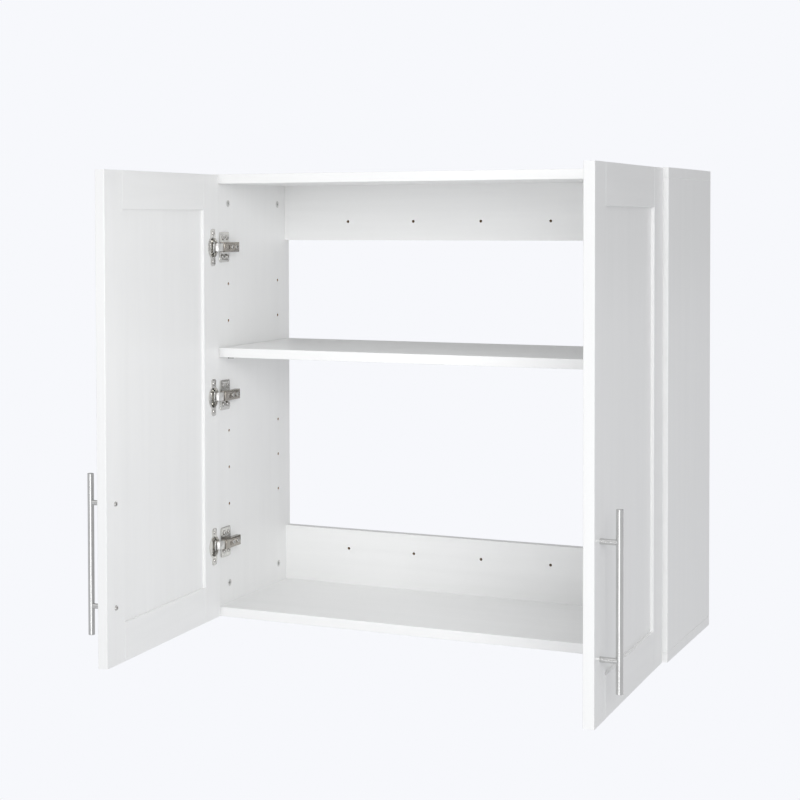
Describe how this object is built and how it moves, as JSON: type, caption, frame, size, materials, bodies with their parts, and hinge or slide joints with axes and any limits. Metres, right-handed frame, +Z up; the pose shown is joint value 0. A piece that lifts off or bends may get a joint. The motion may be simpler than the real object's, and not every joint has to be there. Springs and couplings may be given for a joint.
{
  "type": "wall cabinet",
  "caption": "Wall-hung cabinet with framed doors on concealed hinges, bar handles, a movable shelf, and an open back with drilled hanging rails.",
  "frame": {"origin": "middle of the row of fixing holes in the upper hanging rail, on the wall plane", "axes": "+Z up, +Y into the wall so that the doors face -Y, +X towards the right-hand door as seen from the front"},
  "size_m": [0.842, 0.684, 0.762],
  "materials": {
    "carcass_laminate": "white satin melamine-faced chipboard",
    "shelf_laminate": "white satin melamine-faced chipboard",
    "door_frame_laminate": "white satin foil with a very faint grain",
    "door_panel_laminate": "white satin foil with a very faint grain",
    "beech_dowel": "bare beech",
    "cam_zinc": "nickel-plated zinc die casting",
    "bolt_steel": "zinc-plated steel",
    "pin_steel": "nickel-plated steel",
    "handle_steel": "satin brushed stainless steel",
    "handle_screw_steel": "zinc-plated steel",
    "screw_steel": "nickel-plated steel",
    "hinge_pin_steel": "bright steel",
    "hinge_nickel": "nickel-plated pressed steel"
  },
  "bodies": {
    "carcass": {"top_panel": "carcass_laminate", "bottom_panel": "carcass_laminate", "left_side_panel": "carcass_laminate", "right_side_panel": "carcass_laminate", "upper_hanging_rail": "carcass_laminate", "lower_hanging_rail": "carcass_laminate", "shelf": "shelf_laminate", "shelf_pins": "pin_steel", "cam_locks": "cam_zinc", "cam_bolts": "bolt_steel", "dowels": "beech_dowel", "right_hinge_plates": "hinge_nickel", "right_plate_screws": "screw_steel", "right_hinge_arms": "hinge_nickel", "right_arm_screws": "screw_steel", "right_arm_pins": "hinge_pin_steel", "left_hinge_plates": "hinge_nickel", "left_plate_screws": "screw_steel", "left_hinge_arms": "hinge_nickel", "left_arm_screws": "screw_steel", "left_arm_pins": "hinge_pin_steel"},
    "right_links": {"right_hinge_links": "hinge_nickel"},
    "right_door": {"right_door_hinge_stile": "door_frame_laminate", "right_door_handle_stile": "door_frame_laminate", "right_door_top_rail": "door_frame_laminate", "right_door_bottom_rail": "door_frame_laminate", "right_door_panel": "door_panel_laminate", "right_hinge_cups": "hinge_nickel", "right_cup_pins": "hinge_pin_steel", "right_cup_screws": "screw_steel", "right_handle_bar": "handle_steel", "right_handle_posts": "handle_steel", "right_handle_screws": "handle_screw_steel"},
    "left_links": {"left_hinge_links": "hinge_nickel"},
    "left_door": {"left_door_hinge_stile": "door_frame_laminate", "left_door_handle_stile": "door_frame_laminate", "left_door_top_rail": "door_frame_laminate", "left_door_bottom_rail": "door_frame_laminate", "left_door_panel": "door_panel_laminate", "left_hinge_cups": "hinge_nickel", "left_cup_pins": "hinge_pin_steel", "left_cup_screws": "screw_steel", "left_handle_bar": "handle_steel", "left_handle_posts": "handle_steel", "left_handle_screws": "handle_screw_steel"}
  },
  "joints": [
    {"name": "right_link_swing", "type": "hinge", "parent": "carcass", "child": "right_links", "pos_m": [0.3733, -0.2815, -0.299], "axis": [0, 0, 1], "range_deg": [-6.02, 40.01]},
    {"name": "right_door_swing", "type": "hinge", "parent": "right_links", "child": "right_door", "pos_m": [0.38115, -0.29657, -0.299], "axis": [0, 0, 1], "range_deg": [-131.29, 19.71]},
    {"name": "left_link_swing", "type": "hinge", "parent": "carcass", "child": "left_links", "pos_m": [-0.3733, -0.2815, -0.299], "axis": [0, 0, 1], "range_deg": [-38.26, 7.77]},
    {"name": "left_door_swing", "type": "hinge", "parent": "left_links", "child": "left_door", "pos_m": [-0.38161, -0.29632, -0.299], "axis": [0, 0, 1], "range_deg": [-25.46, 125.54]}
  ],
  "couplings": [
    {"joint": "right_link_swing", "follows": "right_door_swing", "ratio": -0.30459},
    {"joint": "left_link_swing", "follows": "left_door_swing", "ratio": -0.30459}
  ]
}
